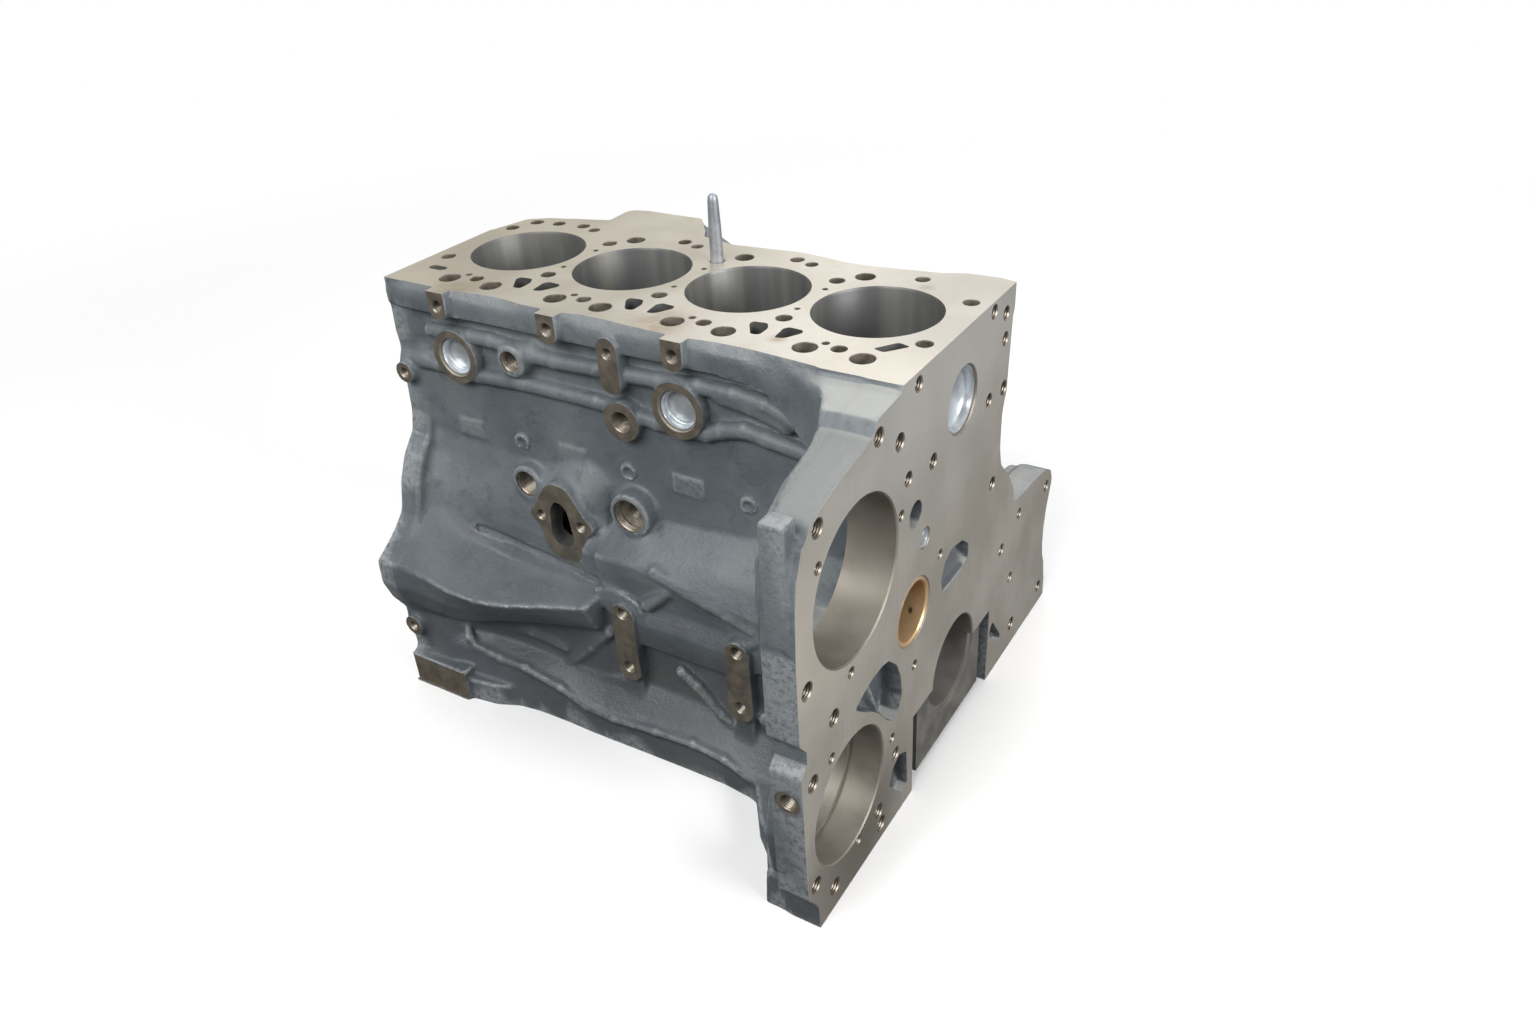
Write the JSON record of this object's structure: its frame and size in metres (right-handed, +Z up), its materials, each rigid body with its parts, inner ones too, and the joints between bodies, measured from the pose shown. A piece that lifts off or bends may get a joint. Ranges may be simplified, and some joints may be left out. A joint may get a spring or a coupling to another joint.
{
  "type": "engine block",
  "caption": "Bare inline engine block casting with cylinder bores, bearing caps, core plugs, camshaft bush and a wide gear-end flange with two large openings.",
  "frame": {"origin": "crankshaft axis in the plane of the gear-end face", "axes": "+X out of the gear end along the crankshaft, +Z up to the head face, -Y the side with the oval pump opening"},
  "size_m": [0.512, 0.5214, 0.469],
  "materials": {
    "casting": "dark blue-grey primer over cast iron, bare ground iron on the machined faces",
    "cap_iron": "dull grey iron",
    "bolt_steel": "black oxide",
    "bush": "fine bored bronze",
    "plug_steel": "bright plated steel",
    "stud_steel": "dull grey steel"
  },
  "bodies": {
    "root": {"cylinder_block": "casting", "main_cap_1": "cap_iron", "main_cap_2": "cap_iron", "main_cap_3": "cap_iron", "main_cap_4": "cap_iron", "main_cap_5": "cap_iron", "cap_bolts_1": "bolt_steel", "cap_bolts_2": "bolt_steel", "cap_bolts_3": "bolt_steel", "cap_bolts_4": "bolt_steel", "cap_bolts_5": "bolt_steel", "cap_dowels": "bolt_steel", "camshaft_bush": "bush", "core_plug_gear_end": "plug_steel", "gallery_plug_gear_end": "plug_steel", "core_plug_near_1": "plug_steel", "core_plug_near_2": "plug_steel", "core_plug_far_1": "plug_steel", "core_plug_far_2": "plug_steel", "core_plug_far_3": "plug_steel", "core_plug_rear": "plug_steel", "camshaft_rear_plug": "plug_steel", "guide_stud": "stud_steel"}
  },
  "joints": []
}
